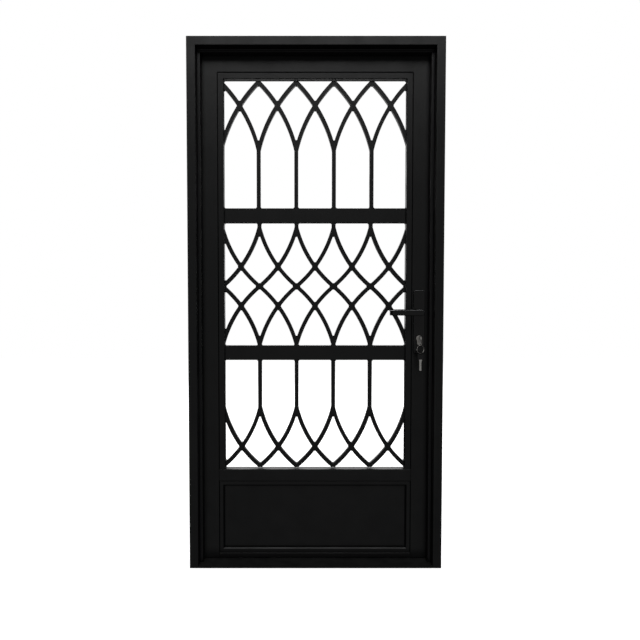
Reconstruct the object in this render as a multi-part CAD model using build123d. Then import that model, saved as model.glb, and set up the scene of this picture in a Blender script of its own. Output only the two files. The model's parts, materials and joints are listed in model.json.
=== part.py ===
from build123d import *
import math
import os

# Steel security grille door in its rebated frame. Millimetres, +X from the hinge side to the lock side,
# +Y from the outside face to the inside face, +Z up. The origin is at floor level on the lip of the hinge
# jamb that lies against the wall near the outside face.

# Door frame
frame_width = 1010
frame_height = 2100
frame_sheet = 2
frame_bend = 3
face_width = 36
front_rebate = 35
stop_width = 30
stop_height = 13
wall_lip = 18
fixing_hole_radius = 5.5
fixing_count = 4
fixing_end = 120
threshold_height = 8
threshold_sheet = 2

# Clearances round the leaf
hinge_gap = 5
lock_gap = 7
top_gap = 7
floor_gap = 4
stop_gap = 5

# Leaf
leaf_depth = 40
stile_width = 70
leaf_wall = 2
tube_corner = 3
bottom_rail_height = 20
lock_rail_top = 380
lock_rail_height = 50
cross_rail_height = 60
cross_rail_depth = 20
cross_rail_wall = 1.5
cross_rail_corner = 2

# Beads and kick panel
bead_width = 24
bead_depth = 14
bead_setback = 3
bead_corner = 2
bead_wall = 1.2
panel_bead_width = 20
panel_bead_slope = 5
panel_bead_drop = 4
panel_sheet = 2

# Grille bars, in three tiers with the middle one taking what height is left
bar = 16
bar_lines = 4
spring_overlap = 4
upper_tier_height = 538
upper_edge_inset = 10.5
upper_upright = 233
upper_apex_inset = 31
upper_lead = 13
middle_edge_inset = 14.5
middle_stub = 18
middle_foot = 3
middle_lead = 14.5
lower_tier_height = 449
lower_edge_inset = 16
lower_upright = 195
lower_apex_inset = 9
lower_lead = 13

# Hinges
hinge_low = 250
hinge_below_top = 227
hinge_length = 120
hinge_fixed_knuckle = 34
hinge_knuckle_gap = 0.5
knuckle_radius = 8
knuckle_chamfer = 0.8
knuckle_standoff = 1
hinge_pin_radius = 4
hinge_pin_clearance = 0.05
hinge_cap_radius = 6.5
hinge_cap_height = 4
hinge_cap_round = 2.5
flap_width = 34
flap_sheet = 3
flap_relief = 1
flap_step = 6
flap_corner = 6

# Lock
lock_backset = 41
lever_height = 1025
lock_centres = 105
forend_width = 22
forend_end = 67.5
forend_thickness = 3
forend_corner = 3
forend_flange = 3
lock_case_depth = 58
lock_case_end = 42.5
lock_case_thickness = 16
latch_rise = 18
latch_height = 30
bolt_rise = 34
bolt_height = 36
bolt_thickness = 10
bolt_joint = 0.6
bolt_joint_depth = 1
lock_hole_clearance = 1.5
strike_end = 26
strike_width = 24
strike_flange = 4
strike_box_depth = 14
strike_wall = 1.5
strike_hole_margin = 3

# Cover plates and lever handles
plate_width = 46
plate_above_lever = 90
plate_below_cylinder = 62
plate_thickness = 8
plate_wall = 2
plate_corner = 8
plate_edge = 2
boss_wall = 3
neck_radius = 8.5
neck_clearance = 0.1
collar_radius = 12
collar_height = 4
collar_gap = 0.5
collar_round = 1.5
lever_proud = 55
lever_length = 126
inside_lever_length = 102
lever_arm_height = 24
lever_tip_height = 21
lever_arm_thickness = 11
lever_hook = 12
lever_bend = 9
lever_edge = 2.5
spindle_side = 8

# Cylinder, keys and their ring
cylinder_radius = 8.5
cylinder_web = 10
cylinder_drop = 33
cylinder_proud = 3
cylinder_clearance = 0.2
plug_radius = 6.5
plug_clearance = 0.05
plug_length = 30
key_blade_width = 8.5
key_blade_thickness = 2.2
key_blade_length = 27
spare_blade_length = 40
blade_clearance = 0.1
key_cuts = (1.6, 3, 2.2, 3.6, 1.2, 2.6, 1.8)
key_cut_start = 6
key_cut_pitch = 4.5
key_cut_half = 2
key_collar_length = 5
key_collar_width = 11
key_head_width = 22
key_head_length = 30
key_head_thickness = 4.4
key_head_corner = 9
key_slot_width = 13
key_slot_height = 7
key_slot_inset = 7
key_slot_corner = 0.5
link_width = 11
link_height = 25
link_wire = 1.6
link_turn = -35
ring_radius = 17.5
ring_wire = 1.4
ring_width = 2.2
ring_turn = 25
spare_turn = -5
hang_gap = 0.1

# How far a cutting solid reaches past what it cuts
cut_margin = 1

# Places that follow from the sizes above
frame_depth = front_rebate + stop_width + stop_gap + leaf_depth
outside_face = -(frame_bend + wall_lip) / 2
inside_face = outside_face + frame_depth
frame_middle_y = (outside_face + inside_face) / 2
stop_front = outside_face + front_rebate
stop_back = stop_front + stop_width
stop_edge = face_width + stop_height
leaf_left = face_width + hinge_gap
leaf_right = frame_width - face_width - lock_gap
leaf_bottom = threshold_height + floor_gap
leaf_top = frame_height - face_width - top_gap
leaf_front = stop_back + stop_gap
leaf_back = inside_face
leaf_centre = (leaf_left + leaf_right) / 2
bay_left = leaf_left + stile_width
bay_right = leaf_right - stile_width
bay_width = bay_right - bay_left
bay_top = leaf_top - stile_width
lock_rail_bottom = lock_rail_top - lock_rail_height
bottom_rail_top = leaf_bottom + bottom_rail_height
bead_front = leaf_front + bead_setback
bead_back = bead_front + bead_depth
upper_rail_top = bay_top - upper_tier_height
upper_rail_bottom = upper_rail_top - cross_rail_height
lower_rail_bottom = lock_rail_top + lower_tier_height
lower_rail_top = lower_rail_bottom + cross_rail_height
hinge_x = (face_width + leaf_left) / 2
hinge_y = inside_face + knuckle_standoff + knuckle_radius
hinge_high = leaf_top - hinge_below_top
lock_x = leaf_right - lock_backset
lock_y = (leaf_front + leaf_back) / 2
cylinder_height = lever_height - lock_centres
latch_centre = lever_height + latch_rise
bolt_centre = cylinder_height + bolt_rise
strike_x = frame_width - face_width
strike_top = latch_centre + latch_height / 2 + strike_end
strike_bottom = bolt_centre - bolt_height / 2 - strike_end
plug_front = leaf_front - plate_thickness - cylinder_proud
hang_y = plug_front - key_collar_length - key_head_length + key_slot_inset


def block(low, high):
    """Box between two opposite corners."""
    size = [b - a for a, b in zip(low, high)]
    middle = [(a + b) / 2 for a, b in zip(low, high)]
    return Pos(*middle) * Box(*size)


def rod(centre, radius, length, direction):
    """Cylinder about its middle point, along a direction."""
    return Plane(origin=centre, z_dir=direction) * Cylinder(radius, length)


def box_tube(low, high, axis, wall, corner):
    """Rectangular tube with rounded long edges, open at both ends."""
    outer = block(low, high)
    outer = fillet(outer.edges().filter_by(axis), corner)
    steps = [-cut_margin if along else wall for along in axis.direction]
    inner = block([a + step for a, step in zip(low, steps)], [b - step for b, step in zip(high, steps)])
    inner = fillet(inner.edges().filter_by(axis), corner - wall) if corner > wall else inner
    return outer - inner


def cut_away(solid, corner, normal):
    """Keep what lies behind a slanted plane through a corner."""
    return split(solid, bisect_by=Plane(origin=corner, z_dir=normal), keep=Keep.BOTTOM)


def mirrored(solid):
    """The same piece on the other side of the door."""
    return mirror(solid, about=Plane(origin=(frame_width / 2, 0, 0), z_dir=(1, 0, 0)))


# Frame pieces


def frame_outline():
    """Outer shape of the folded section: across from the wall, and back from the outside face."""
    corners = [
        (0, outside_face),
        (face_width, outside_face),
        (face_width, stop_front),
        (stop_edge, stop_front),
        (stop_edge, stop_back),
        (face_width, stop_back),
        (face_width, inside_face),
        (0, inside_face),
    ]
    outline = make_face(Polyline(*corners, close=True))
    return fillet(outline.vertices(), frame_bend)


def frame_profile():
    """Sheet section, open towards the wall between its two lips."""
    outline = frame_outline()
    hollow = offset(outline, amount=-frame_sheet)
    mouth = Pos(0, frame_middle_y) * Rectangle(4 * frame_sheet, frame_depth - 2 * wall_lip)
    return outline - hollow - mouth


def hinge_jamb():
    """Folded upright, mitred at the top, with fixing holes in the rebate that the closed leaf covers."""
    jamb = extrude(frame_profile(), frame_height)
    jamb = cut_away(jamb, (0, 0, frame_height), (1, 0, 1))
    y = (stop_back + inside_face) / 2
    pitch = (frame_height - 2 * fixing_end) / (fixing_count - 1)
    for i in range(fixing_count):
        jamb -= rod((face_width, y, fixing_end + i * pitch), fixing_hole_radius, 4 * frame_sheet, (1, 0, 0))
    return jamb


def strike_window(low_x, high_x):
    """Face of the strike plate, between two places across the rebate of the lock jamb."""
    half = strike_width / 2
    return block((low_x, lock_y - half, strike_bottom), (high_x, lock_y + half, strike_top))


def lock_jamb():
    return mirrored(hinge_jamb()) - strike_window(strike_x - cut_margin, strike_x + frame_sheet + cut_margin)


def head_jamb():
    across = Plane(origin=(0, 0, frame_height), x_dir=(0, 0, -1), z_dir=(1, 0, 0))
    head = extrude(across * frame_profile(), frame_width)
    head = cut_away(head, (0, 0, frame_height), (-1, 0, -1))
    return cut_away(head, (frame_width, 0, frame_height), (1, 0, -1))


def threshold():
    """Low folded sill, notched round the stops of both jambs."""
    sill = block((face_width, outside_face, 0), (frame_width - face_width, inside_face, threshold_height))
    sill -= block(
        (0, outside_face + threshold_sheet, -cut_margin),
        (frame_width, inside_face - threshold_sheet, threshold_height - threshold_sheet),
    )
    notch = extrude(frame_outline(), frame_width)
    return sill - notch - mirrored(notch)


def strike_plate():
    """Flush plate with a flange behind the sheet and a pocket for each bolt."""
    back = strike_x + frame_sheet
    half = strike_width / 2 + strike_flange
    flange = block(
        (back, lock_y - half, strike_bottom - strike_flange),
        (back + strike_wall, lock_y + half, strike_top + strike_flange),
    )
    strike = strike_window(strike_x, back) + flange
    half_y = bolt_thickness / 2 + strike_hole_margin
    for height, centre in ((latch_height, latch_centre), (bolt_height, bolt_centre)):
        half_z = height / 2 + strike_hole_margin
        wall = strike_wall
        low = (back, lock_y - half_y - wall, centre - half_z - wall)
        strike += block(low, (back + strike_box_depth, lock_y + half_y + wall, centre + half_z + wall))
        strike -= block(
            (strike_x - cut_margin, lock_y - half_y, centre - half_z),
            (back + strike_box_depth - wall, lock_y + half_y, centre + half_z),
        )
    return strike


# Hinges


def knuckles(centre_height):
    """Height ranges of the fixed knuckles and of the moving one between them."""
    low = centre_height - hinge_length / 2
    high = centre_height + hinge_length / 2
    fixed = ((low, low + hinge_fixed_knuckle), (high - hinge_fixed_knuckle, high))
    moving = (low + hinge_fixed_knuckle + hinge_knuckle_gap, high - hinge_fixed_knuckle - hinge_knuckle_gap)
    return fixed, moving


def upright(radius, low, high):
    """Cylinder on the hinge axis between two heights."""
    return rod((hinge_x, hinge_y, (low + high) / 2), radius, high - low, (0, 0, 1))


def knuckle(low, high):
    barrel = upright(knuckle_radius, low, high)
    return chamfer(barrel.edges().filter_by(GeomType.CIRCLE), knuckle_chamfer)


def hinge_cap(low, top):
    """Domed end of the pin, standing on the top knuckle or hanging under the bottom one."""
    cap = upright(hinge_cap_radius, low, low + hinge_cap_height)
    rim = cap.edges().filter_by(GeomType.CIRCLE).sort_by(Axis.Z)[-1 if top else 0]
    return fillet(rim, hinge_cap_round)


def frame_hinge(centre_height):
    """Fixed half: flap on the back of the jamb, two knuckles and the pin with its caps."""
    fixed, moving = knuckles(centre_height)
    low, high = fixed[0][0], fixed[1][1]
    flap = block((hinge_x - flap_width, inside_face, low), (hinge_x, inside_face + flap_sheet, high))
    flap = fillet(flap.edges().filter_by(Axis.Y).sort_by(Axis.X)[:2], flap_corner)
    half = flap - upright(knuckle_radius + flap_relief, moving[0] - hinge_knuckle_gap, moving[1] + hinge_knuckle_gap)
    for start, end in fixed:
        half += knuckle(start, end)
    half += upright(hinge_pin_radius, low, high)
    return half + hinge_cap(high, True) + hinge_cap(low - hinge_cap_height, False)


def leaf_hinge(centre_height):
    """Moving half: flap on the back of the leaf, and the middle knuckle on its web."""
    fixed, moving = knuckles(centre_height)
    low, high = fixed[0][0], fixed[1][1]
    inner = hinge_x + flap_step
    flap = block((inner, leaf_back, low), (hinge_x + flap_width, leaf_back + flap_sheet, high))
    half = fillet(flap.edges().filter_by(Axis.Y).sort_by(Axis.X)[-2:], flap_corner)
    for start, end in fixed:
        half -= upright(knuckle_radius + flap_relief, start - cut_margin, end + hinge_knuckle_gap)
    half += block(
        (hinge_x, leaf_back + knuckle_standoff, moving[0]), (inner + cut_margin, leaf_back + flap_sheet, moving[1])
    )
    half += knuckle(moving[0], moving[1])
    return half - upright(hinge_pin_radius + hinge_pin_clearance, low, high)


# Leaf frame


def hinge_stile():
    low = (leaf_left, leaf_front, leaf_bottom)
    tube = box_tube(low, (bay_left, leaf_back, leaf_top), Axis.Z, leaf_wall, tube_corner)
    return cut_away(tube, (leaf_left, 0, leaf_top), (1, 0, 1))


def lock_stile():
    """Upright with openings for the forend, the lever necks and the cylinder."""
    low = (bay_right, leaf_front, leaf_bottom)
    tube = box_tube(low, (leaf_right, leaf_back, leaf_top), Axis.Z, leaf_wall, tube_corner)
    tube = cut_away(tube, (leaf_right, 0, leaf_top), (-1, 0, 1))
    tube -= forend_shape(leaf_right - leaf_wall, leaf_right + cut_margin)
    tube -= rod((lock_x, lock_y, lever_height), neck_radius + lock_hole_clearance, 2 * leaf_depth, (0, 1, 0))
    return tube - euro_profile(2 * leaf_depth, lock_hole_clearance)


def top_rail():
    low = (leaf_left, leaf_front, bay_top)
    tube = box_tube(low, (leaf_right, leaf_back, leaf_top), Axis.X, leaf_wall, tube_corner)
    tube = cut_away(tube, (leaf_left, 0, leaf_top), (-1, 0, -1))
    return cut_away(tube, (leaf_right, 0, leaf_top), (1, 0, -1))


def lock_rail():
    low = (bay_left, leaf_front, lock_rail_bottom)
    return box_tube(low, (bay_right, leaf_back, lock_rail_top), Axis.X, leaf_wall, tube_corner)


def bottom_rail():
    low = (bay_left, leaf_front, leaf_bottom)
    return box_tube(low, (bay_right, leaf_back, bottom_rail_top), Axis.X, leaf_wall, tube_corner)


def cross_rail(bottom):
    """Flatter tube behind the beads that parts two tiers of the grille."""
    high = (bay_right, bead_back + cross_rail_depth, bottom + cross_rail_height)
    return box_tube((bay_left, bead_back, bottom), high, Axis.X, cross_rail_wall, cross_rail_corner)


# Beads and panel


def grille_bead_profile():
    """Flat bead: width away from the frame member, and back from its face."""
    bead = Pos(bead_width / 2, bead_front + bead_depth / 2) * Rectangle(bead_width, bead_depth)
    front = bead.vertices().sort_by(Axis.Y)[:2]
    bead = fillet(front, bead_corner)
    return bead - offset(bead, amount=-bead_wall)


def panel_bead_profile():
    """Bead whose inner edge slopes down to the panel."""
    corners = [
        (0, bead_front),
        (panel_bead_width - panel_bead_slope, bead_front),
        (panel_bead_width, bead_front + panel_bead_drop),
        (panel_bead_width, bead_back),
        (0, bead_back),
    ]
    bead = make_face(Polyline(*corners, close=True))
    front = bead.vertices().sort_by(Axis.Y)[:3]
    bead = fillet(front, bead_corner)
    return bead - offset(bead, amount=-bead_wall)


def upright_bead(profile, x, side, low, high):
    """Vertical bead against a stile; side is 1 to the right of it and -1 to the left."""
    base = Plane(origin=(x, 0, low), x_dir=(side, 0, 0), z_dir=(0, 0, side))
    return extrude(base * profile, side * (high - low))


def level_bead(profile, z, side):
    """Horizontal bead from stile to stile, above or below its rail."""
    base = Plane(origin=(bay_left, 0, z), x_dir=(0, 0, side), z_dir=(-side, 0, 0))
    return extrude(base * profile, -side * bay_width)


def grille_bead_left():
    bead = upright_bead(grille_bead_profile(), bay_left, 1, lock_rail_top, bay_top)
    return cut_away(bead, (bay_left, 0, bay_top), (1, 0, 1))


def grille_bead_right():
    bead = upright_bead(grille_bead_profile(), bay_right, -1, lock_rail_top, bay_top)
    return cut_away(bead, (bay_right, 0, bay_top), (-1, 0, 1))


def grille_bead_top():
    bead = level_bead(grille_bead_profile(), bay_top, -1)
    bead = cut_away(bead, (bay_left, 0, bay_top), (-1, 0, -1))
    return cut_away(bead, (bay_right, 0, bay_top), (1, 0, -1))


def panel_bead_left():
    bead = upright_bead(panel_bead_profile(), bay_left, 1, bottom_rail_top, lock_rail_bottom)
    bead = cut_away(bead, (bay_left, 0, lock_rail_bottom), (1, 0, 1))
    return cut_away(bead, (bay_left, 0, bottom_rail_top), (1, 0, -1))


def panel_bead_right():
    bead = upright_bead(panel_bead_profile(), bay_right, -1, bottom_rail_top, lock_rail_bottom)
    bead = cut_away(bead, (bay_right, 0, lock_rail_bottom), (-1, 0, 1))
    return cut_away(bead, (bay_right, 0, bottom_rail_top), (-1, 0, -1))


def panel_bead_top():
    bead = level_bead(panel_bead_profile(), lock_rail_bottom, -1)
    bead = cut_away(bead, (bay_left, 0, lock_rail_bottom), (-1, 0, -1))
    return cut_away(bead, (bay_right, 0, lock_rail_bottom), (1, 0, -1))


def panel_bead_bottom():
    bead = level_bead(panel_bead_profile(), bottom_rail_top, 1)
    bead = cut_away(bead, (bay_left, 0, bottom_rail_top), (-1, 0, 1))
    return cut_away(bead, (bay_right, 0, bottom_rail_top), (1, 0, 1))


def kick_panel():
    """Sheet behind the lower beads, from stile to stile and from rail to rail."""
    return block((bay_left, bead_back, bottom_rail_top), (bay_right, bead_back + panel_sheet, lock_rail_bottom))


# Grille


def tier_lines(edge_inset):
    """Places of a tier's upright bars, with one more line behind the bead at each side."""
    pitch = (bay_width - 2 * edge_inset) / (bar_lines + 1)
    return [bay_left + edge_inset + i * pitch for i in range(bar_lines + 2)]


def strips(lines, low, high):
    """Straight upright bars, flat in the plane of the grille."""
    return [Pos(x, (low + high) / 2) * Rectangle(bar, high - low) for x in lines]


def springing_bar(x, landing_x, z, rise, lead):
    """Curved bar that leaves one line at a small angle and lands on the next."""
    angle = math.radians(lead)
    tangent = (math.copysign(math.sin(angle), landing_x - x), math.copysign(math.cos(angle), rise))
    return trace(TangentArc((x, z), (landing_x, z + rise), tangent=tangent), bar)


def springing_bars(lines, z, rise, lead):
    """A curved bar from every line to each of its neighbours, so that they interlace."""
    bars = [springing_bar(a, b, z, rise, lead) for a, b in zip(lines, lines[1:])]
    return bars + [springing_bar(b, a, z, rise, lead) for a, b in zip(lines, lines[1:])]


def lattice(bars, low, high, with_top_edge):
    """Fuse the flat bars with strips behind the beads, trim them to the tier and give them their depth."""
    middle = (low + high) / 2
    edges = [Pos(bay_left + bead_width / 2, middle) * Rectangle(bead_width, high - low)]
    edges.append(Pos(bay_right - bead_width / 2, middle) * Rectangle(bead_width, high - low))
    if with_top_edge:
        edges.append(Pos(leaf_centre, high - bead_width / 2) * Rectangle(bay_width, bead_width))
    flat = Sketch() + edges + bars
    flat = flat & Pos(leaf_centre, middle) * Rectangle(bay_width, high - low)
    return extrude(Plane(origin=(0, bead_back, 0), x_dir=(1, 0, 0), z_dir=(0, -1, 0)) * flat, -bar)


def upper_grille():
    """Uprights that open into interlaced pointed arches under the top rail."""
    lines = tier_lines(upper_edge_inset)
    spring = upper_rail_top + upper_upright
    bars = strips(lines, upper_rail_top, spring + spring_overlap)
    bars += springing_bars(lines, spring, bay_top - upper_apex_inset - spring, upper_lead)
    return lattice(bars, upper_rail_top, bay_top, True)


def middle_grille():
    """Stubs that open downwards, cross half way, and close again on the lower cross rail."""
    lines = tier_lines(middle_edge_inset)
    spring = upper_rail_bottom - middle_stub
    foot = lower_rail_top + middle_foot
    rise = (spring - foot) / 2
    bars = strips(lines, spring - spring_overlap, upper_rail_bottom)
    bars += strips(lines, lower_rail_top, foot + spring_overlap)
    bars += springing_bars(lines, spring, -rise, middle_lead)
    bars += springing_bars(lines, foot, rise, middle_lead)
    return lattice(bars, lower_rail_top, upper_rail_bottom, False)


def lower_grille():
    """Uprights that open downwards into interlaced pointed arches standing on the lock rail."""
    lines = tier_lines(lower_edge_inset)
    spring = lower_rail_bottom - lower_upright
    bars = strips(lines, spring - spring_overlap, lower_rail_bottom)
    bars += springing_bars(lines, spring, lock_rail_top + lower_apex_inset - spring, lower_lead)
    return lattice(bars, lock_rail_top, lower_rail_bottom, False)


# Lock


def forend_shape(low_x, high_x):
    """Rounded forend plate between two places across the edge of the leaf."""
    middle = (lever_height + cylinder_height) / 2
    plane = Plane(origin=(low_x, lock_y, middle), x_dir=(0, 1, 0), z_dir=(1, 0, 0))
    height = lock_centres + 2 * forend_end
    return extrude(plane * RectangleRounded(forend_width, height, forend_corner), high_x - low_x)


def euro_profile(length, clearance):
    """Cylinder body shape about the lock's middle: a round above a narrow web."""
    plane = Plane(origin=(lock_x, lock_y + length / 2, cylinder_height), x_dir=(1, 0, 0), z_dir=(0, -1, 0))
    web = cylinder_web / 2 + clearance
    foot = cylinder_radius - cylinder_drop
    shape = Circle(cylinder_radius + clearance)
    shape += Pos(0, (foot + web) / 2) * Rectangle(2 * web, -foot - web)
    shape += Pos(0, foot + cylinder_web / 2) * Circle(web)
    return extrude(plane * shape, length)


def bolt_joint_line(centre, height):
    """Fine joint in the forend round the flush head of a bolt."""
    depth = leaf_right - bolt_joint_depth
    half_y = bolt_thickness / 2
    half_z = height / 2
    head = block((depth, lock_y - half_y, centre - half_z), (leaf_right, lock_y + half_y, centre + half_z))
    half_y += bolt_joint
    half_z += bolt_joint
    hole = block((depth, lock_y - half_y, centre - half_z), (leaf_right, lock_y + half_y, centre + half_z))
    return hole - head


def mortise_lock():
    """Forend flush with the edge of the leaf, and the case behind it, with latch and bolt drawn in."""
    back = leaf_right - forend_thickness
    half_y = forend_width / 2 + forend_flange
    flange_end = forend_end + forend_flange
    lock = forend_shape(leaf_right - leaf_wall, leaf_right)
    lock += block(
        (back, lock_y - half_y, cylinder_height - flange_end),
        (leaf_right - leaf_wall, lock_y + half_y, lever_height + flange_end),
    )
    lock += block(
        (back - lock_case_depth, lock_y - lock_case_thickness / 2, cylinder_height - lock_case_end),
        (back, lock_y + lock_case_thickness / 2, lever_height + lock_case_end),
    )
    lock -= bolt_joint_line(latch_centre, latch_height)
    lock -= bolt_joint_line(bolt_centre, bolt_height)
    lock -= rod((lock_x, lock_y, lever_height), neck_radius, leaf_depth, (0, 1, 0))
    return lock - euro_profile(leaf_depth, cylinder_clearance)


def door_plate(side):
    """Long cover plate, hollow behind; side is -1 outside and 1 inside."""
    face = leaf_front if side < 0 else leaf_back
    top = lever_height + plate_above_lever
    bottom = cylinder_height - plate_below_cylinder
    plane = Plane(origin=(lock_x, face, (top + bottom) / 2), x_dir=(1, 0, 0), z_dir=(0, side, 0))
    plate = extrude(plane * RectangleRounded(plate_width, top - bottom, plate_corner), plate_thickness)
    plate = fillet(plate.faces().sort_by(Axis.Y)[0 if side < 0 else -1].edges(), plate_edge)
    inner_width = plate_width - 2 * plate_wall
    inner_height = top - bottom - 2 * plate_wall
    pocket = RectangleRounded(inner_width, inner_height, plate_corner - plate_wall)
    plate -= extrude(plane * pocket, plate_thickness - plate_wall)
    boss_y = face + side * plate_thickness / 2
    plate += rod((lock_x, boss_y, lever_height), neck_radius + boss_wall, plate_thickness, (0, 1, 0))
    plate -= rod((lock_x, boss_y, lever_height), neck_radius + neck_clearance, 2 * plate_thickness, (0, 1, 0))
    return plate - euro_profile(2 * leaf_depth, cylinder_clearance)


def lock_cylinder():
    """Profile cylinder through the leaf, with a bored hole for the turning plug."""
    length = leaf_depth + 2 * (plate_thickness + cylinder_proud)
    bore = rod(
        (lock_x, plug_front + plug_length / 2, cylinder_height), plug_radius + plug_clearance, plug_length, (0, 1, 0)
    )
    return euro_profile(length, 0) - bore


def cylinder_plug():
    """Plug with an upright keyway."""
    plug = rod((lock_x, plug_front + plug_length / 2, cylinder_height), plug_radius, plug_length, (0, 1, 0))
    half_x = key_blade_thickness / 2 + blade_clearance
    half_z = key_blade_width / 2 + blade_clearance
    return plug - block(
        (lock_x - half_x, plug_front - cut_margin, cylinder_height - half_z),
        (lock_x + half_x, plug_front + key_blade_length + blade_clearance, cylinder_height + half_z),
    )


# Lever


def lever_handle(side, length):
    """Round neck with a collar, and a flat tapering arm whose end turns back towards the leaf."""
    leaf_face = leaf_front if side < 0 else leaf_back
    face = leaf_face + side * plate_thickness
    arm_y = face + side * (lever_proud - lever_arm_thickness / 2)
    tip_x = lock_x - length
    half = lever_arm_thickness / 2
    path = FilletPolyline(
        (lock_x + lever_arm_height / 2, arm_y, lever_height),
        (tip_x + half, arm_y, lever_height),
        (tip_x + half, arm_y - side * lever_hook, lever_height),
        radius=lever_bend,
    )
    section = Plane(origin=path @ 0, x_dir=(0, 1, 0), z_dir=(-1, 0, 0))
    band = sweep(section * Rectangle(lever_arm_thickness, lever_arm_height), path)
    elevation = make_face(
        Polyline(
            (lock_x, lever_height - lever_arm_height / 2),
            (lock_x, lever_height + lever_arm_height / 2),
            (tip_x, lever_height + lever_tip_height / 2),
            (tip_x, lever_height - lever_tip_height / 2),
            close=True,
        )
    )
    elevation += Pos(lock_x, lever_height) * Circle(lever_arm_height / 2)
    upright_plane = Plane(origin=(0, arm_y, 0), x_dir=(1, 0, 0), z_dir=(0, -1, 0))
    arm = band & extrude(upright_plane * elevation, 2 * lever_hook, both=True)
    arm = fillet(arm.edges(), lever_edge)
    neck = rod((lock_x, (leaf_face + arm_y) / 2, lever_height), neck_radius, abs(arm_y - leaf_face), (0, 1, 0))
    collar_y = face + side * (collar_gap + collar_height / 2)
    collar = rod((lock_x, collar_y, lever_height), collar_radius, collar_height, (0, 1, 0))
    rim = collar.edges().filter_by(GeomType.CIRCLE).sort_by(Axis.Y)[0 if side < 0 else -1]
    return arm + neck + fillet(rim, collar_round)


def lever_spindle():
    """Square bar between the two necks."""
    half = spindle_side / 2
    return block((lock_x - half, leaf_front, lever_height - half), (lock_x + half, leaf_back, lever_height + half))


# Keys


def flat_piece(plane, shape, thickness):
    """Flat piece of even thickness about its middle plane."""
    return extrude(plane * shape, thickness / 2, both=True)


def seat(radius, thickness, other_thickness, angle):
    """How far a round must stand clear of a flat piece that crosses it at an angle, seen from above."""
    turn = math.radians(angle)
    half = (other_thickness + thickness * math.cos(turn)) / math.sin(turn) / 2
    return radius - math.sqrt(radius**2 - half**2)


def link_top():
    """Height at which the link hangs on the foot of the slot in the door key."""
    inner_radius = link_width / 2 - link_wire
    rest = seat(inner_radius, link_wire, key_head_thickness, 90 - abs(link_turn))
    return cylinder_height - key_slot_width / 2 + rest + hang_gap + link_wire


def ring_centre():
    """Height of the ring's middle as it hangs in the link."""
    angle = abs(ring_turn - link_turn)
    rest = seat(link_width / 2 - link_wire, link_wire, ring_width, angle)
    rest += seat(ring_radius - ring_wire, ring_width, link_wire, angle)
    return link_top() - link_height + link_wire + rest + hang_gap + ring_wire - ring_radius


def spare_slot():
    """Height of the slot's middle in the spare key as it hangs on the ring."""
    rest = seat(ring_radius - ring_wire, ring_width, key_head_thickness, abs(ring_turn - spare_turn))
    return ring_centre() - ring_radius + ring_wire + rest + hang_gap - key_slot_height / 2


def turned_plane(height, turn):
    """Upright plane at the place where the keys hang, turned about the vertical."""
    angle = math.radians(turn)
    across = (math.cos(angle), math.sin(angle), 0)
    return Plane(origin=(lock_x, hang_y, height), x_dir=across, z_dir=(across[1], -across[0], 0))


def key(plane, blade_length):
    """Key about the slot in its head, with the blade pointing down in its own plane and its edge cut."""
    head_foot = key_slot_inset - key_head_length
    shoulder = head_foot - key_collar_length
    tip = shoulder - blade_length
    half = key_blade_width / 2
    blade = Pos(0, (head_foot + tip) / 2) * Rectangle(key_blade_width, head_foot - tip)
    blade = chamfer(blade.vertices().sort_by(Axis.Y)[:2], half / 2)
    for i, depth in enumerate(key_cuts):
        cut = shoulder - key_cut_start - i * key_cut_pitch
        if cut - key_cut_half > tip:
            notch = [(half, cut - key_cut_half), (half - depth, cut), (half, cut + key_cut_half)]
            blade -= make_face(Polyline(*notch, close=True))
    head = Pos(0, (key_slot_inset + head_foot) / 2) * RectangleRounded(key_head_width, key_head_length, key_head_corner)
    collar = Pos(0, (head_foot + shoulder) / 2) * Rectangle(key_collar_width, key_collar_length)
    slot = RectangleRounded(key_slot_width, key_slot_height, key_slot_corner)
    body = flat_piece(plane, head - slot, key_head_thickness)
    body += flat_piece(plane, collar, key_head_thickness)
    return body + flat_piece(plane, blade, key_blade_thickness)


def door_key():
    """Key pushed home in the plug, its head edge-on to the outside."""
    plane = Plane(origin=(lock_x, hang_y, cylinder_height), x_dir=(0, 0, 1), z_dir=(1, 0, 0))
    return key(plane, key_blade_length)


def key_link():
    """Small oval link through the slot of the door key."""
    middle = link_top() - link_height / 2
    link = Rot(0, 0, 90) * SlotOverall(link_height, link_width)
    link -= Rot(0, 0, 90) * SlotOverall(link_height - 2 * link_wire, link_width - 2 * link_wire)
    return flat_piece(turned_plane(middle, link_turn), link, link_wire)


def key_ring():
    """Flat ring that hangs in the link."""
    ring = Circle(ring_radius) - Circle(ring_radius - ring_wire)
    return flat_piece(turned_plane(ring_centre(), ring_turn), ring, ring_width)


def spare_key():
    """Second key, hanging from the bottom of the ring and showing its flat side."""
    return key(turned_plane(spare_slot(), spare_turn), spare_blade_length)


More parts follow.
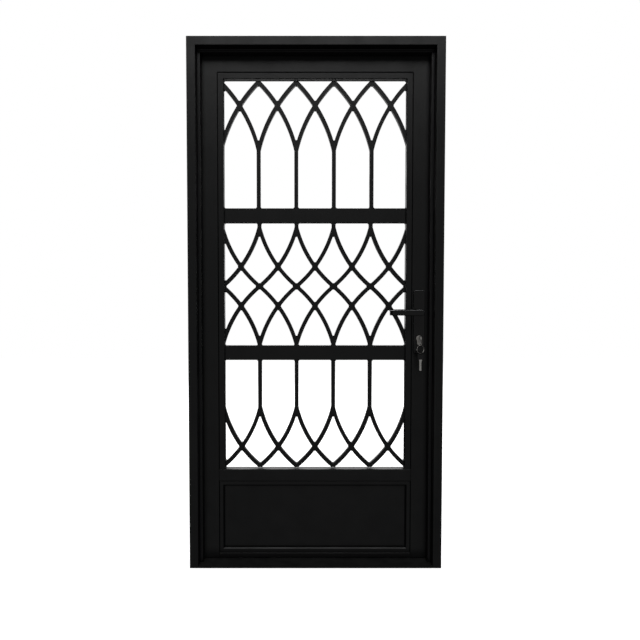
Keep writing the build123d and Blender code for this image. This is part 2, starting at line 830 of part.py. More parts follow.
pieces = {
    "hinge_jamb": hinge_jamb,
    "lock_jamb": lock_jamb,
    "head_jamb": head_jamb,
    "threshold": threshold,
    "strike_plate": strike_plate,
    "hinge_stile": hinge_stile,
    "lock_stile": lock_stile,
    "top_rail": top_rail,
    "upper_cross_rail": lambda: cross_rail(upper_rail_bottom),
    "lower_cross_rail": lambda: cross_rail(lower_rail_bottom),
    "lock_rail": lock_rail,
    "bottom_rail": bottom_rail,
    "upper_grille": upper_grille,
    "middle_grille": middle_grille,
    "lower_grille": lower_grille,
    "grille_bead_left": grille_bead_left,
    "grille_bead_right": grille_bead_right,
    "grille_bead_top": grille_bead_top,
    "panel_bead_left": panel_bead_left,
    "panel_bead_right": panel_bead_right,
    "panel_bead_top": panel_bead_top,
    "panel_bead_bottom": panel_bead_bottom,
    "kick_panel": kick_panel,
    "mortise_lock": mortise_lock,
    "outside_plate": lambda: door_plate(-1),
    "inside_plate": lambda: door_plate(1),
    "lock_cylinder": lock_cylinder,
    "outside_lever": lambda: lever_handle(-1, lever_length),
    "inside_lever": lambda: lever_handle(1, inside_lever_length),
    "lever_spindle": lever_spindle,
    "cylinder_plug": cylinder_plug,
    "door_key": door_key,
    "key_link": key_link,
    "key_ring": key_ring,
    "spare_key": spare_key,
}
hinge_heights = (hinge_low, (hinge_low + hinge_high) / 2, hinge_high)
for name, height in zip(("lower", "middle", "upper"), hinge_heights):
    pieces["frame_hinge_" + name] = lambda height=height: frame_hinge(height)
    pieces["leaf_hinge_" + name] = lambda height=height: leaf_hinge(height)

os.makedirs("parts", exist_ok=True)
for name, make in pieces.items():
    export_step(make(), "parts/" + name + ".step")
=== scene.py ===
import json
import math
import random

import bmesh
import bpy
from mathutils import Matrix, Vector


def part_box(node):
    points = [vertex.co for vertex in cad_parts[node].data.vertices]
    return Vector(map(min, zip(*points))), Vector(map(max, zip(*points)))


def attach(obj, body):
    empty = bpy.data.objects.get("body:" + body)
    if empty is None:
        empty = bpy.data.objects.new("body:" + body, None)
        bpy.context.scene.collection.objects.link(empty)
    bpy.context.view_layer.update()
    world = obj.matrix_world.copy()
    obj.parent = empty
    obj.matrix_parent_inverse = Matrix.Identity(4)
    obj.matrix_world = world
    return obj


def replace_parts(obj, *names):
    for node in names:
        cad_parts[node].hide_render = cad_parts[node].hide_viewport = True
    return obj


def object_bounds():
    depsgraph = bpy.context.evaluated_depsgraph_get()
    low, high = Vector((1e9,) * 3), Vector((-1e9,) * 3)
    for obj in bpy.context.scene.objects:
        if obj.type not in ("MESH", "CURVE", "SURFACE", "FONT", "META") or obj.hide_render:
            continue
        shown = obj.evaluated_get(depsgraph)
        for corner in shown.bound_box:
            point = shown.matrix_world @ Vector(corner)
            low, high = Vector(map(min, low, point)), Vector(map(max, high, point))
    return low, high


# The security grille door: finishes, welds, screws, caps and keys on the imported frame.
# Lengths are in metres, and places come from the boxes of the CAD nodes and from the record's mounts.

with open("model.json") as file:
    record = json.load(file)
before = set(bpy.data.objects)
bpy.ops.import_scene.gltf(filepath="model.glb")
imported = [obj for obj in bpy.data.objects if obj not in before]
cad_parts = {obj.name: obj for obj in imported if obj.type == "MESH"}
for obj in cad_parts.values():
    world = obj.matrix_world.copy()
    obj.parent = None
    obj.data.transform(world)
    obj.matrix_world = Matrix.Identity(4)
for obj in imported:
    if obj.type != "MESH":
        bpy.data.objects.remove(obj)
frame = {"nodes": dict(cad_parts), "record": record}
cad_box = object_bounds()
nodes = frame["nodes"]
chance = random.Random(7)

# Camera, as in the photograph
camera_distance = 2.25
camera_height = 1.082
camera_side = -0.060
camera_pitch = math.radians(2.165)
focal_pixels = 570.4
picture_pixels = 640
door_centre_pixel = 315.8
sensor_width = 36.0

# Tones, linear, and how far patches of them are lightened or darkened
paint_tone = (0.0052, 0.0056, 0.0060)
handle_tone = (0.0058, 0.0060, 0.0062)
plastic_tone = (0.010, 0.010, 0.011)
# Lighter tone for upward faces: dust, and painted top light on the sill
dust_and_top_light_tone = (0.060, 0.060, 0.059)
nickel_tone = (0.88, 0.86, 0.82)
zinc_tone = (0.46, 0.47, 0.49)
# Bare metal tone of the painted highlight on the upper rounded edges of the handles
painted_highlight_tone = (0.60, 0.60, 0.62)
white = (1.0, 1.0, 1.0, 1.0)
floor_tone = (0.6, 0.6, 0.6, 1.0)
cloud_tint = 1.3
worn_tint = 4.0
tarnish_tint = 0.75
plastic_tint = 1.4

# Noise patterns: scale per metre, detail, and the part of the noise's range that is used
paint_cloud = (6.0, 4.0, 0.35, 0.75)
gloss_cloud = (14.0, 5.0, 0.30, 0.70)
worn_patches = (30.0, 6.0, 0.48, 0.70)
dust_and_top_light_patches = (25.0, 6.0, 0.30, 0.60)
painted_highlight_patches = (60.0, 5.0, 0.30, 0.65)
lacquer_cloud = (20.0, 4.0, 0.35, 0.75)
tarnish_cloud = (40.0, 4.0, 0.40, 0.70)
plastic_cloud = (60.0, 4.0, 0.35, 0.70)
streak_range = (0.3, 0.7)
least_dust_and_top_light = 0.5
least_painted_highlight = 0.45

# Fine relief: scale per metre, strength and depth
relief_detail = 3.0
peel_scale = 900.0
peel_detail = 2.0
peel_depth = 0.0004
lacquer_peel = 0.04
streak_scale = 300.0
streak_relief = 0.15
streak_depth = 0.0002
grain_scale = 1500.0
grain_relief = 0.2
grain_depth = 0.0002

# Masks: how far two normals agree at a worn edge, and how far a face looks upwards
wear_radius = 0.0015
wear_samples = 4
worn_agreement = (0.99, 0.80)
# Upward faces that take the dusty tone with painted top light
dust_and_top_light_upward = (0.80, 1.0)
# Upward rounded edges that carry the painted highlight, and the flat tops that are left out of it
painted_highlight_upward = (0.20, 0.55)
painted_highlight_top_cutoff = (0.90, 0.98)

# Roughness, and the stretch of the brushed grain along each axis
paint_rough = (0.33, 0.44)
sill_rough = (0.45, 0.60)
bar_rough = (0.36, 0.52)
lacquer_rough = (0.18, 0.26)
nickel_rough = (0.46, 0.60)
nickel_grain = (1.0, 8.0, 1.0)
zinc_rough = (0.30, 0.50)
zinc_grain = (1.0, 1.0, 6.0)
key_rough = (0.30, 0.44)
key_grain = (1.0, 1.0, 5.0)
plastic_rough = (0.42, 0.56)
floor_rough = 0.9

# Meshes
tolerance = 1e-5
rail_tolerance = 1e-4
sharp_angle = math.radians(40)
mm_per_m = 1000

# Welds in the corners of the grille, and seams
corner_angle = math.radians(20)
weld_width = 0.005
weld_reach = 0.009
weld_bulge = 0.0007
weld_root = 0.0008
weld_proud = 0.0004
weld_ripple = 0.10
weld_steps = 9
weld_face_points = 5
seam_radius = 0.0022
seam_pitch = 0.003
seam_points = 8
seam_waist = 0.86
seam_ripple = 0.05

# Screws
head_points = 32
head_rim_part = 3
head_top = 0.85
hinge_screw = {"radius": 0.0045, "height": 0.0010}
hinge_screw_inset = 0.011
hinge_screw_pitch = 0.042
flap_thickness = 0.003
forend_screw = {"radius": 0.0036, "height": 0.0003}
forend_screw_inset = 0.012
strike_screw_inset = 0.015
cylinder_screw_drop = 0.0095
plate_screw = {"radius": 0.0045, "height": 0.0014}
plate_screw_inset = 0.014
set_screw = {"radius": 0.0026, "height": 0.0003}
set_screw_back = 0.022
lever_neck_radius = 0.0085
recess_length = 1.2
recess_width = 0.35
recess_depth = 0.33

# Anchor caps, the rim of the plug and the bezels of the cylinder
cap_radius = 0.008
cap_height = 0.0018
cap_profile = ((1.0, 0.0), (1.0, 0.4), (0.92, 0.7), (0.7, 0.9), (0.35, 1.0))
rim_width = 0.0008
rim_proud = 0.0004
cylinder_web = 0.010
bezel_points = 72
bezel_width = 0.0034
bezel_proud = 0.0014
bezel_round = 0.0006

# Keys and their rings
key_head_length = 0.030
cover_edge = 0.0002
ring_turn = math.radians(25)
ring_wire = 0.00095
ring_coils = 2
ring_points = 72
link_turn = math.radians(-35)
link_wire = 0.0009
wire_points = 12

# Floor
floor_corners = ((-8, -8, 0), (9, -8, 0), (9, 8, 0), (-8, 8, 0))
floor_drop = 0.0005
glow_strength = 1.0


# Materials


def new_material(name):
    """New material, with its node tree and its shader."""
    material = bpy.data.materials.new(name)
    material.use_nodes = True
    tree = material.node_tree
    return material, tree, tree.nodes["Principled BSDF"]


def add_node(tree, kind, inputs=None, **settings):
    """Node with its settings made, and with its inputs linked or set."""
    node = tree.nodes.new(kind)
    for key, value in settings.items():
        setattr(node, key, value)
    for key, value in (inputs or {}).items():
        if isinstance(value, bpy.types.NodeSocket):
            tree.links.new(value, node.inputs[key])
        else:
            node.inputs[key].default_value = value
    return node


def object_place(tree):
    """Place on the piece, in metres."""
    return add_node(tree, "ShaderNodeTexCoord").outputs["Object"]


def noise(tree, place, scale, detail=relief_detail):
    """Cloudy noise between 0 and 1."""
    inputs = {"Vector": place, "Scale": scale, "Detail": detail}
    return add_node(tree, "ShaderNodeTexNoise", inputs).outputs["Fac"]


def spread(tree, value, low, high, new_low, new_high):
    """Stretch a value's range low to high over a new range."""
    ends = {"From Min": low, "From Max": high, "To Min": new_low, "To Max": new_high}
    return add_node(tree, "ShaderNodeMapRange", {"Value": value, **ends}).outputs["Result"]


def patches(tree, place, pattern, new_low=0.0, new_high=1.0):
    """Noise of a pattern, with its used part stretched over a new range."""
    scale, detail, low, high = pattern
    return spread(tree, noise(tree, place, scale, detail), low, high, new_low, new_high)


def times(tree, first, second):
    """Product of two values, each a number or a socket."""
    return add_node(tree, "ShaderNodeMath", {0: first, 1: second}, operation="MULTIPLY").outputs["Value"]


def tint(tone, share):
    """Tone made lighter or darker by a share."""
    return tuple(part * share for part in tone)


def blend_colours(tree, factor, first, second):
    """Mix of two colours, each a tone or a socket."""
    node = add_node(tree, "ShaderNodeMix", {"Factor": factor}, data_type="RGBA")
    colour_inputs = [socket for socket in node.inputs if socket.type == "RGBA"]
    for socket, colour in zip(colour_inputs, (first, second)):
        if isinstance(colour, tuple):
            socket.default_value = (*colour, 1.0)
        else:
            tree.links.new(colour, socket)
    return next(socket for socket in node.outputs if socket.type == "RGBA")


def bump(tree, height, strength, depth):
    """Normal bent by fine relief."""
    inputs = {"Strength": strength, "Distance": depth, "Height": height}
    return add_node(tree, "ShaderNodeBump", inputs).outputs["Normal"]


def part_of(tree, vector, axis):
    """One part of a vector."""
    return add_node(tree, "ShaderNodeSeparateXYZ", {"Vector": vector}).outputs[axis]


def worn_edges(tree, place):
    """Patchy mask along the outer edges, where hands and feet rub the paint thin."""
    flat = add_node(tree, "ShaderNodeNewGeometry").outputs["Normal"]
    bevel = add_node(tree, "ShaderNodeBevel", {"Radius": wear_radius}, samples=wear_samples)
    normals = {0: flat, 1: bevel.outputs["Normal"]}
    agree = add_node(tree, "ShaderNodeVectorMath", normals, operation="DOT_PRODUCT")
    edge = spread(tree, agree.outputs["Value"], *worn_agreement, 0.0, 1.0)
    return times(tree, edge, patches(tree, place, worn_patches))


def painted_steel(name, tone, rough, peel, dust_and_top_light, wear):
    """Satin paint on steel: fine orange peel, cloudy gloss, worn edges, and a lighter dusty tone on the faces
    that look upwards, which paints the light from above as well as dirt.
    """
    material, tree, shader = new_material(name)
    place = object_place(tree)
    colour = blend_colours(tree, patches(tree, place, paint_cloud), tone, tint(tone, cloud_tint))
    worn = times(tree, worn_edges(tree, place), wear)
    colour = blend_colours(tree, worn, colour, tint(tone, worn_tint))
    # Upward faces lightened: dust, and painted top light that brightens the top of the sill
    upward = part_of(tree, add_node(tree, "ShaderNodeNewGeometry").outputs["Normal"], "Z")
    top_light_ledge = spread(tree, upward, *dust_and_top_light_upward, 0.0, dust_and_top_light)
    dust_and_top_light_mask = times(tree, top_light_ledge, patches(tree, place, dust_and_top_light_patches, least_dust_and_top_light))
    colour = blend_colours(tree, dust_and_top_light_mask, colour, dust_and_top_light_tone)
    relief = bump(tree, noise(tree, place, peel_scale, peel_detail), peel, peel_depth)
    tree.links.new(colour, shader.inputs["Base Color"])
    tree.links.new(patches(tree, place, gloss_cloud, *rough), shader.inputs["Roughness"])
    tree.links.new(relief, shader.inputs["Normal"])
    return material


def lacquered_metal(name, tone, rough):
    """Smooth black lacquer on a casting, with a painted highlight: bright bare metal along the rounded upper
    edges only, where the light from above makes a light line.
    """
    material, tree, shader = new_material(name)
    place = object_place(tree)
    # Painted highlight: bare metal on the rounded edges that face upwards, not on the sides, standing in for
    # the top light on them
    upward = part_of(tree, add_node(tree, "ShaderNodeTexCoord").outputs["Normal"], "Z")
    rounded = spread(tree, upward, *painted_highlight_upward, 0.0, 1.0)
    edge = times(tree, rounded, spread(tree, upward, *painted_highlight_top_cutoff, 1.0, 0.0))
    painted_highlight = times(tree, edge, patches(tree, place, painted_highlight_patches, least_painted_highlight))
    cloud = patches(tree, place, lacquer_cloud)
    colour = blend_colours(tree, cloud, tone, tint(tone, cloud_tint))
    relief = bump(tree, noise(tree, place, peel_scale, peel_detail), lacquer_peel, peel_depth)
    tree.links.new(blend_colours(tree, painted_highlight, colour, painted_highlight_tone), shader.inputs["Base Color"])
    tree.links.new(painted_highlight, shader.inputs["Metallic"])
    tree.links.new(spread(tree, cloud, 0.0, 1.0, *rough), shader.inputs["Roughness"])
    tree.links.new(relief, shader.inputs["Normal"])
    return material


def plated_metal(name, tone, rough, grain):
    """Plated metal with fine brushed grain and cloudy tarnish."""
    material, tree, shader = new_material(name)
    place = object_place(tree)
    stretched = add_node(tree, "ShaderNodeMapping", {"Vector": place, "Scale": grain}).outputs["Vector"]
    streaks = noise(tree, stretched, streak_scale)
    colour = blend_colours(tree, patches(tree, place, tarnish_cloud), tone, tint(tone, tarnish_tint))
    tree.links.new(colour, shader.inputs["Base Color"])
    tree.links.new(spread(tree, streaks, *streak_range, *rough), shader.inputs["Roughness"])
    tree.links.new(bump(tree, streaks, streak_relief, streak_depth), shader.inputs["Normal"])
    shader.inputs["Metallic"].default_value = 1.0
    return material


def plastic(name, tone):
    """Dull moulded plastic with a fine grain."""
    material, tree, shader = new_material(name)
    place = object_place(tree)
    cloud = patches(tree, place, plastic_cloud)
    colour = blend_colours(tree, cloud, tone, tint(tone, plastic_tint))
    relief = bump(tree, noise(tree, place, grain_scale), grain_relief, grain_depth)
    tree.links.new(colour, shader.inputs["Base Color"])
    tree.links.new(spread(tree, cloud, 0.0, 1.0, *plastic_rough), shader.inputs["Roughness"])
    tree.links.new(relief, shader.inputs["Normal"])
    return material


def covered_key(name, cover_start):
    """Plated hanging key whose head has a black plastic cover above a height."""
    material = plated_metal(name, nickel_tone, key_rough, key_grain)
    tree = material.node_tree
    shader = tree.nodes["Principled BSDF"]
    height = part_of(tree, object_place(tree), "Z")
    cover = spread(tree, height, cover_start - cover_edge, cover_start + cover_edge, 0.0, 1.0)
    metal = shader.inputs["Base Color"].links[0].from_socket
    tree.links.new(blend_colours(tree, cover, metal, plastic_tone), shader.inputs["Base Color"])
    tree.links.new(spread(tree, cover, 0.0, 1.0, 1.0, 0.0), shader.inputs["Metallic"])
    return material


frame_paint = painted_steel("frame_paint", paint_tone, paint_rough, peel=0.12, dust_and_top_light=0.0, wear=0.5)
sill_paint = painted_steel("sill_paint", paint_tone, sill_rough, peel=0.20, dust_and_top_light=0.7, wear=1.0)
leaf_paint = painted_steel("leaf_paint", paint_tone, paint_rough, peel=0.12, dust_and_top_light=0.0, wear=0.4)
bar_paint = painted_steel("bar_paint", paint_tone, bar_rough, peel=0.22, dust_and_top_light=0.0, wear=0.6)
handle_paint = lacquered_metal("handle_paint", handle_tone, lacquer_rough)
nickel = plated_metal("nickel", nickel_tone, nickel_rough, nickel_grain)
zinc = plated_metal("zinc", zinc_tone, zinc_rough, zinc_grain)
black_plastic = plastic("black_plastic", plastic_tone)
spare_key_finish = covered_key("spare_key_finish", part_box("spare_key")[1].z - key_head_length)

own_finish = {
    "threshold": sill_paint,
    "mortise_lock": zinc,
    "strike_plate": zinc,
    "lever_spindle": zinc,
    "outside_plate": handle_paint,
    "inside_plate": handle_paint,
    "outside_lever": handle_paint,
    "inside_lever": handle_paint,
    "lock_cylinder": nickel,
    "cylinder_plug": nickel,
    "key_link": nickel,
    "key_ring": nickel,
    "door_key": nickel,
    "spare_key": spare_key_finish,
}


def finish_of(node):
    """Material of a CAD node."""
    if node in own_finish:
        return own_finish[node]
    if node.endswith("_grille"):
        return bar_paint
    if node.endswith("_jamb") or node.startswith("frame_hinge"):
        return frame_paint
    return leaf_paint


for name, piece in nodes.items():
    piece.data.materials.clear()
    piece.data.materials.append(finish_of(name))


# Mesh building


def add_loft(shape, rings, closed=False):
    """Skin a row of rings that have the same number of points, closed end to start or capped."""
    rows = [[shape.verts.new(point) for point in ring] for ring in rings]
    pairs = list(zip(rows, rows[1:]))
    if closed:
        pairs.append((rows[-1], rows[0]))
    for first, second in pairs:
        for i, vert in enumerate(first):
            j = (i + 1) % len(first)
            shape.faces.new((vert, first[j], second[j], second[i]))
    if not closed:
        shape.faces.new(rows[0][::-1])
        shape.faces.new(rows[-1])


def add_piece(name, shape, material, body):
    """Finish a mesh, put it into the scene and let it move with a CAD body."""
    bmesh.ops.recalc_face_normals(shape, faces=shape.faces)
    mesh = bpy.data.meshes.new(name)
    shape.to_mesh(mesh)
    shape.free()
    mesh.materials.append(material)
    mesh.shade_smooth()
    mesh.set_sharp_from_angle(angle=sharp_angle)
    piece = bpy.data.objects.new(name, mesh)
    bpy.context.scene.collection.objects.link(piece)
    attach(piece, body)
    return piece


# Welds


def along_wall(normal, other_normal):
    """Direction along a wall, away from its inner corner with another wall."""
    direction = Vector((normal.z, 0, -normal.x)).normalized()
    return direction if direction.dot(other_normal) > 0 else -direction


def inner_corners(node):
    """Places where two bars of a grille meet or a bar ends on a rail, with the normals of both walls."""
    shape = bmesh.new()
    shape.from_mesh(nodes[node].data)
    shape.transform(nodes[node].matrix_world)
    bmesh.ops.remove_doubles(shape, verts=shape.verts, dist=tolerance)
    low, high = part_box(node)
    corners = []
    for edge in shape.edges:
        start, end = (vert.co for vert in edge.verts)
        full_depth = abs(abs(start.y - end.y) - (high.y - low.y)) < tolerance
        through = full_depth and (start - end).xz.length < tolerance
        if not through or len(edge.link_faces) != 2:
            continue
        first, second = (face.normal.copy() for face in edge.link_faces)
        if first.angle(second) < corner_angle:
            continue
        if not edge.is_convex:
            corners.append((start.copy(), first, second))
            continue
        if abs(second.z) > abs(first.z):
            first, second = second, first
        at_rail = min(start.z - low.z, high.z - start.z) < rail_tolerance and abs(first.z) > 1 - tolerance
        if at_rail:
            corners.append((start.copy(), -first, second))
    shape.free()
    return corners, low.y, high.y


def add_corner_weld(shape, corner, first_normal, second_normal, front, back):
    """Rippled fillet that fills an inner corner through the depth of the bars."""
    first = along_wall(first_normal, second_normal)
    second = along_wall(second_normal, first_normal)
    middle = (first + second).normalized()
    half_angle = first.angle(second) / 2
    leg = min(weld_reach, weld_width / 2 / math.sin(half_angle))
    rings = []
    for i in range(weld_steps + 1):
        share = i / weld_steps
        reach = leg * (1 + weld_ripple * chance.uniform(-1, 1))
        y = front - weld_proud + share * (back - front + 2 * weld_proud)
        ring = [-middle * weld_root]
        for j in range(weld_face_points):
            part = j / (weld_face_points - 1)
            swell = middle * weld_bulge * math.sin(math.pi * part)
            ring.append((first * (1 - part) + second * part) * reach + swell)
        rings.append([Vector((corner.x + point.x, y, corner.z + point.z)) for point in ring])
    add_loft(shape, rings)


def add_seam(shape, start, end):
    """Half-sunk weld bead in a straight line, with a ripple at each step of the electrode."""
    line = end - start
    count = max(2, round(line.length / seam_pitch))
    turn = line.to_track_quat("Z", "Y")
    rings = []
    for i in range(2 * count + 1):
        swell = 1.0 if i % 2 else seam_waist
        radius = seam_radius * swell * (1 + seam_ripple * chance.uniform(-1, 1))
        centre = start + line * i / (2 * count)
        ring = []
        for j in range(seam_points):
            angle = 2 * math.pi * j / seam_points
            ring.append(centre + turn @ Vector((radius * math.cos(angle), radius * math.sin(angle), 0)))
        rings.append(ring)
    add_loft(shape, rings)


def grille_welds(node):
    """Welds in all the inner corners of a grille."""
    shape = bmesh.new()
    corners, front, back = inner_corners(node)
    for corner, first, second in corners:
        add_corner_weld(shape, corner, first, second, front, back)
    add_piece(node + "_welds", shape, bar_paint, "leaf")


def rail_seams():
    """Weld beads where the cross rails end on the stiles, behind the grille."""
    shape = bmesh.new()
    for node in ("upper_cross_rail", "lower_cross_rail"):
        low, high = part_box(node)
        for x in (low.x, high.x):
            add_seam(shape, Vector((x, high.y, low.z)), Vector((x, high.y, high.z)))
            add_seam(shape, Vector((x, low.y, low.z)), Vector((x, high.y, low.z)))
            add_seam(shape, Vector((x, low.y, high.z)), Vector((x, high.y, high.z)))
    add_piece("rail_seams", shape, leaf_paint, "leaf")


for node in ("upper_grille", "middle_grille", "lower_grille"):
    grille_welds(node)
rail_seams()


# Screws and caps


def hexagon(across):
    """Radius of a hexagon at an angle."""
    return lambda angle: across / 2 / math.cos((angle % (math.pi / 3)) - math.pi / 6)


def cross(head_radius):
    """Radius at an angle of the cross recess that suits a screw head."""
    half_length = head_radius * recess_length / 2
    half_width = head_radius * recess_width / 2

    def radius_at(angle):
        folded = abs((angle + math.pi / 4) % (math.pi / 2) - math.pi / 4)
        return min(half_length / math.cos(folded), half_width / max(math.sin(folded), tolerance))

    return radius_at


def round_shape(radius):
    """Radius of a round shape, the same at each angle."""
    return lambda angle: radius


def euro_shape(radius, web, foot):
    """Radius of a cylinder's profile at an angle: a round over a web that ends in a round foot."""

    def radius_at(angle):
        down = abs((angle + math.pi / 2 + math.pi) % (2 * math.pi) - math.pi)
        sine, cosine = math.sin(down), math.cos(down)
        if cosine <= 0:
            return radius
        if sine * foot < web * cosine:
            return foot * cosine + math.sqrt(web**2 - (foot * sine) ** 2)
        return max(radius, web / sine)

    return radius_at


def outline_ring(radius_at, height, move, count=head_points):
    """Ring of points on an outline at a height, moved into place."""
    ring = []
    for i in range(count):
        angle = 2 * math.pi * i / count
        reach = radius_at(angle)
        ring.append(move @ Vector((reach * math.cos(angle), reach * math.sin(angle), height)))
    return ring


def facing(place, direction):
    """Transform that puts a piece on a face, with its own Z along a direction."""
    turn = Vector(direction).to_track_quat("Z", "Y").to_matrix().to_4x4()
    return Matrix.Translation(place) @ turn


def add_screw(shape, place, direction, recess, radius, height):
    """Low screw head with a driven recess."""
    move = facing(place, direction)
    depth = recess_depth * radius
    levels = [
        (round_shape(radius), -weld_proud),
        (round_shape(radius), height / head_rim_part),
        (round_shape(radius * head_top), height),
        (recess, height),
        (recess, height - depth),
    ]
    add_loft(shape, [outline_ring(radius_at, level, move) for radius_at, level in levels])


def add_cap(shape, place, direction):
    """Shallow domed cap over a fixing hole."""
    move = facing(place, direction)
    add_loft(shape, [outline_ring(round_shape(cap_radius * r), cap_height * h, move) for r, h in cap_profile])


def hinge_screws(prefix, body):
    """Three cross-headed screws in each flap."""
    shape = bmesh.new()
    recess = cross(hinge_screw["radius"])
    flap_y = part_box("hinge_jamb")[1].y + flap_thickness
    for place in ("lower", "middle", "upper"):
        low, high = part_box(prefix + place)
        x = low.x + hinge_screw_inset if body == "frame" else high.x - hinge_screw_inset
        for step in (-1, 0, 1):
            z = (low.z + high.z) / 2 + step * hinge_screw_pitch
            add_screw(shape, (x, flap_y, z), (0, 1, 0), recess, **hinge_screw)
    add_piece(prefix + "screws", shape, zinc, body)


def forend_screws():
    """Two screws at the ends of the forend and the one that holds the cylinder."""
    shape = bmesh.new()
    recess = cross(forend_screw["radius"])
    low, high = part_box("mortise_lock")
    y = (low.y + high.y) / 2
    plug_low, plug_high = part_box("cylinder_plug")
    retaining = (plug_low.z + plug_high.z) / 2 - cylinder_screw_drop
    for z in (low.z + forend_screw_inset, high.z - forend_screw_inset, retaining):
        add_screw(shape, (high.x, y, z), (1, 0, 0), recess, **forend_screw)
    add_piece("forend_screws", shape, zinc, "leaf")


def strike_screws():
    """Two screws at the ends of the strike plate."""
    shape = bmesh.new()
    recess = cross(forend_screw["radius"])
    low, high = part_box("strike_plate")
    for z in (low.z + strike_screw_inset, high.z - strike_screw_inset):
        add_screw(shape, (low.x, (low.y + high.y) / 2, z), (-1, 0, 0), recess, **forend_screw)
    add_piece("strike_screws", shape, zinc, "frame")


def plate_screws():
    """Two socket screws through the inside plate, one above the lever and one below the cylinder."""
    shape = bmesh.new()
    low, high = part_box("inside_plate")
    x = (low.x + high.x) / 2
    recess = hexagon(plate_screw["radius"])
    for z in (low.z + plate_screw_inset, high.z - plate_screw_inset):
        add_screw(shape, (x, high.y, z), (0, 1, 0), recess, **plate_screw)
    add_piece("inside_plate_screws", shape, handle_paint, "leaf")


def lever_screws():
    """Socket screw under the neck of each lever."""
    shape = bmesh.new()
    plug_low, plug_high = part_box("cylinder_plug")
    x = (plug_low.x + plug_high.x) / 2
    spindle_low, spindle_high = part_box("lever_spindle")
    z = (spindle_low.z + spindle_high.z) / 2 - lever_neck_radius
    recess = hexagon(set_screw["radius"])
    for y in (spindle_low.y - set_screw_back, spindle_high.y + set_screw_back):
        add_screw(shape, (x, y, z), (0, 0, -1), recess, **set_screw)
    add_piece("lever_screws", shape, zinc, "lever")


def anchor_caps():
    """Caps over the fixing holes, at the places that the record's bolt patterns give."""
    shape = bmesh.new()
    for mount in frame["record"]["mounts"]:
        if mount["kind"] != "bolt_pattern":
            continue
        place = Vector(mount["pos_m"])
        half = mount["dims"]["spacing_y_mm"] / 2 / mm_per_m
        for step in (-half, half):
            add_cap(shape, place + Vector((0, 0, step)), mount["axis"])
    add_piece("anchor_caps", shape, black_plastic, "frame")


def plug_rim():
    """Narrow raised rim round the plug."""
    shape = bmesh.new()
    low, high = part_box("cylinder_plug")
    centre = Vector(((low.x + high.x) / 2, low.y, (low.z + high.z) / 2))
    move = facing(centre, (0, -1, 0))
    inner = (high.x - low.x) / 2
    profile = [(inner, -rim_proud), (inner + rim_width, -rim_proud), (inner + rim_width, 0.0)]
    profile += [(inner + rim_width / 2, rim_proud), (inner, rim_proud / 2)]
    add_loft(shape, [outline_ring(round_shape(r), h, move) for r, h in profile], closed=True)
    add_piece("plug_rim", shape, nickel, "leaf")


def cylinder_bezels():
    """Plated bezel round the cylinder on each cover plate."""
    shape = bmesh.new()
    low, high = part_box("lock_cylinder")
    radius = (high.x - low.x) / 2
    centre = Vector((low.x + radius, 0, high.z - radius))
    web = cylinder_web / 2
    foot = high.z - low.z - radius - web
    profile = [(0, -weld_proud), (bezel_width, -weld_proud), (bezel_width, bezel_proud - bezel_round)]
    profile += [(bezel_width - bezel_round, bezel_proud), (0, bezel_proud)]
    for face, side in ((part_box("outside_plate")[0].y, -1), (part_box("inside_plate")[1].y, 1)):
        centre.y = face
        # Foot down, and face turned to the outside or the inside
        turn = Matrix(((-side, 0, 0, 0), (0, 0, side, 0), (0, 1, 0, 0), (0, 0, 0, 1)))
        move = Matrix.Translation(centre) @ turn
        rings = []
        for grow, height in profile:
            outline = euro_shape(radius + grow, web + grow, foot)
            rings.append(outline_ring(outline, height, move, bezel_points))
        add_loft(shape, rings, closed=True)
    add_piece("cylinder_bezels", shape, nickel, "leaf")


hinge_screws("frame_hinge_", "frame")
hinge_screws("leaf_hinge_", "leaf")
forend_screws()
strike_screws()
plate_screws()
lever_screws()
anchor_caps()
plug_rim()
cylinder_bezels()


# Key ring and link


def add_wire(shape, path, normal, radius, closed):
    """Round wire along a path that stays about in the plane across a normal."""
    rings = []
    count = len(path)
    for i, point in enumerate(path):
        before = path[i - 1] if closed or i else point
        after = path[(i + 1) % count] if closed or i < count - 1 else point
        side = (after - before).cross(normal).normalized()
        ring = []
        for j in range(wire_points):
            angle = 2 * math.pi * j / wire_points
            ring.append(point + side * radius * math.cos(angle) + normal * radius * math.sin(angle))
        rings.append(ring)
    add_loft(shape, rings, closed)


def turned_axes(turn):
    """Directions across and out of an upright plane turned about the vertical."""
    across = Vector((math.cos(turn), math.sin(turn), 0))
    return across, Vector((across.y, -across.x, 0))


def split_ring():
    """Key ring of two close coils, in place of the plain ring of the CAD model."""
    shape = bmesh.new()
    low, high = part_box("key_ring")
    centre = (low + high) / 2
    radius = (high.z - low.z) / 2 - ring_wire
    across, normal = turned_axes(ring_turn)
    path = []
    for i in range(ring_coils * ring_points + 1):
        angle = 2 * math.pi * i / ring_points
        out = across * math.cos(angle) + Vector((0, 0, math.sin(angle)))
        shift = (i / (ring_coils * ring_points) - 0.5) * 2 * ring_wire
        path.append(centre + out * radius + normal * shift)
    add_wire(shape, path, normal, ring_wire, closed=False)
    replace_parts(add_piece("split_key_ring", shape, nickel, "leaf"), "key_ring")


def oval_link():
    """Link of round wire, in place of the flat one of the CAD model."""
    shape = bmesh.new()
    low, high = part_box("key_link")
    centre = (low + high) / 2
    across, normal = turned_axes(link_turn)
    width = (high.x - low.x - 2 * link_wire * abs(math.sin(link_turn))) / math.cos(link_turn)
    radius = width / 2 - link_wire
    straight = (high.z - low.z) / 2 - width / 2
    path = []
    for i in range(ring_points):
        angle = 2 * math.pi * i / ring_points
        rise = math.copysign(straight, math.sin(angle)) + radius * math.sin(angle)
        path.append(centre + across * radius * math.cos(angle) + Vector((0, 0, rise)))
    add_wire(shape, path, normal, link_wire, closed=True)
    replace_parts(add_piece("oval_key_link", shape, nickel, "leaf"), "key_link")


split_ring()
oval_link()


# Stage, lights and camera

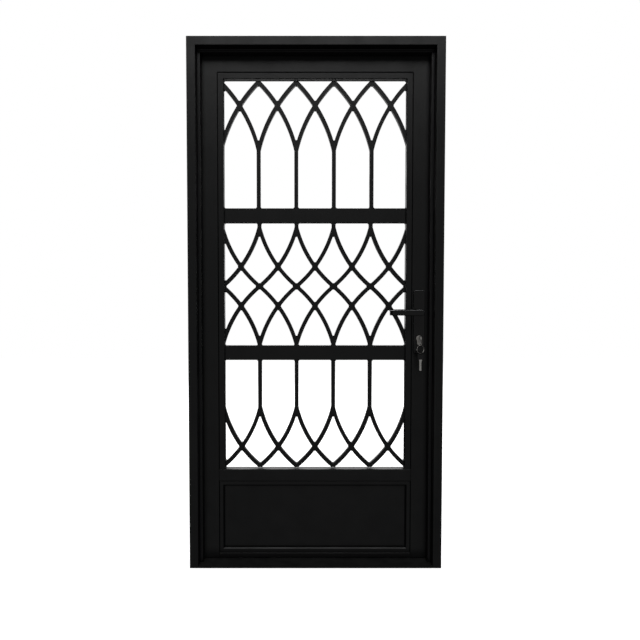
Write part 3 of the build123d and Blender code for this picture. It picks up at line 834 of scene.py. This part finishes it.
door_middle = (cad_box[0][0] + cad_box[1][0]) / 2
outside_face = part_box("hinge_jamb")[0].y

# Lights: place, target, width and height, and power in watts
lights = {
    "sky": ((door_middle, -4.6, 5.3), (door_middle, 0, 1.5), (5.0, 2.4), 72),
    "room": ((door_middle, -5.2, -0.4), (door_middle, 0, -0.4), (6.0, 6.8), 25),
    "back_sky": ((door_middle, 4.6, 5.3), (door_middle, 0, 1.5), (5.0, 2.4), 190),
    "back_room": ((door_middle, 5.2, 1.9), (door_middle, 0, 1.4), (6.0, 2.4), 60),
    "side_left": ((-4.5, 1.2, 2.2), (0, 0.3, 1.1), (2.4, 3.0), 90),
    "side_right": ((5.5, 1.2, 2.2), (1, 0.3, 1.1), (2.4, 3.0), 90),
}


def pale_floor():
    """Wide white floor, as bright as the background."""
    mesh = bpy.data.meshes.new("floor")
    mesh.from_pydata(floor_corners, [], [(0, 1, 2, 3)])
    material, tree, shader = new_material("pale_floor")
    shader.inputs["Base Color"].default_value = floor_tone
    shader.inputs["Roughness"].default_value = floor_rough
    shader.inputs["Emission Color"].default_value = white
    shader.inputs["Emission Strength"].default_value = glow_strength
    mesh.materials.append(material)
    floor = bpy.data.objects.new("floor", mesh)
    floor.location.z = -floor_drop
    floor.visible_glossy = False
    floor.visible_diffuse = False
    floor.visible_shadow = False
    bpy.context.scene.collection.objects.link(floor)


def white_background():
    """White all round, which shows to the camera and lights nothing."""
    world = bpy.data.worlds.new("studio")
    bpy.context.scene.world = world
    world.use_nodes = True
    background = world.node_tree.nodes["Background"]
    background.inputs["Color"].default_value = white
    background.inputs["Strength"].default_value = glow_strength
    world.cycles_visibility.diffuse = False
    world.cycles_visibility.glossy = False
    world.cycles_visibility.transmission = False


def area_light(name, place, target, size, power):
    """Soft box that looks at a target and doesn't show itself."""
    light = bpy.data.lights.new(name, "AREA")
    light.shape = "RECTANGLE"
    light.size, light.size_y = size
    light.energy = power
    holder = bpy.data.objects.new(name, light)
    holder.location = place
    holder.rotation_euler = (Vector(target) - Vector(place)).to_track_quat("-Z", "Y").to_euler()
    holder.visible_camera = False
    bpy.context.scene.collection.objects.link(holder)


def photo_camera():
    """Camera at the photograph's place, with a small shift that centres the door as the photograph does."""
    camera_data = bpy.data.cameras.new("camera")
    camera = bpy.data.objects.new("camera", camera_data)
    bpy.context.scene.collection.objects.link(camera)
    camera.location = (door_middle + camera_side, outside_face - camera_distance, camera_height)
    camera.rotation_euler = (math.pi / 2 - camera_pitch, 0, 0)
    camera_data.sensor_width = sensor_width
    camera_data.lens = focal_pixels / picture_pixels * sensor_width
    centre_pixel = picture_pixels / 2 - focal_pixels * camera_side / camera_distance
    camera_data.shift_x = (centre_pixel - door_centre_pixel) / picture_pixels
    bpy.context.scene.camera = camera


pale_floor()
white_background()
bpy.context.scene.view_settings.view_transform = "Standard"
for name, settings in lights.items():
    area_light(name, *settings)
photo_camera()
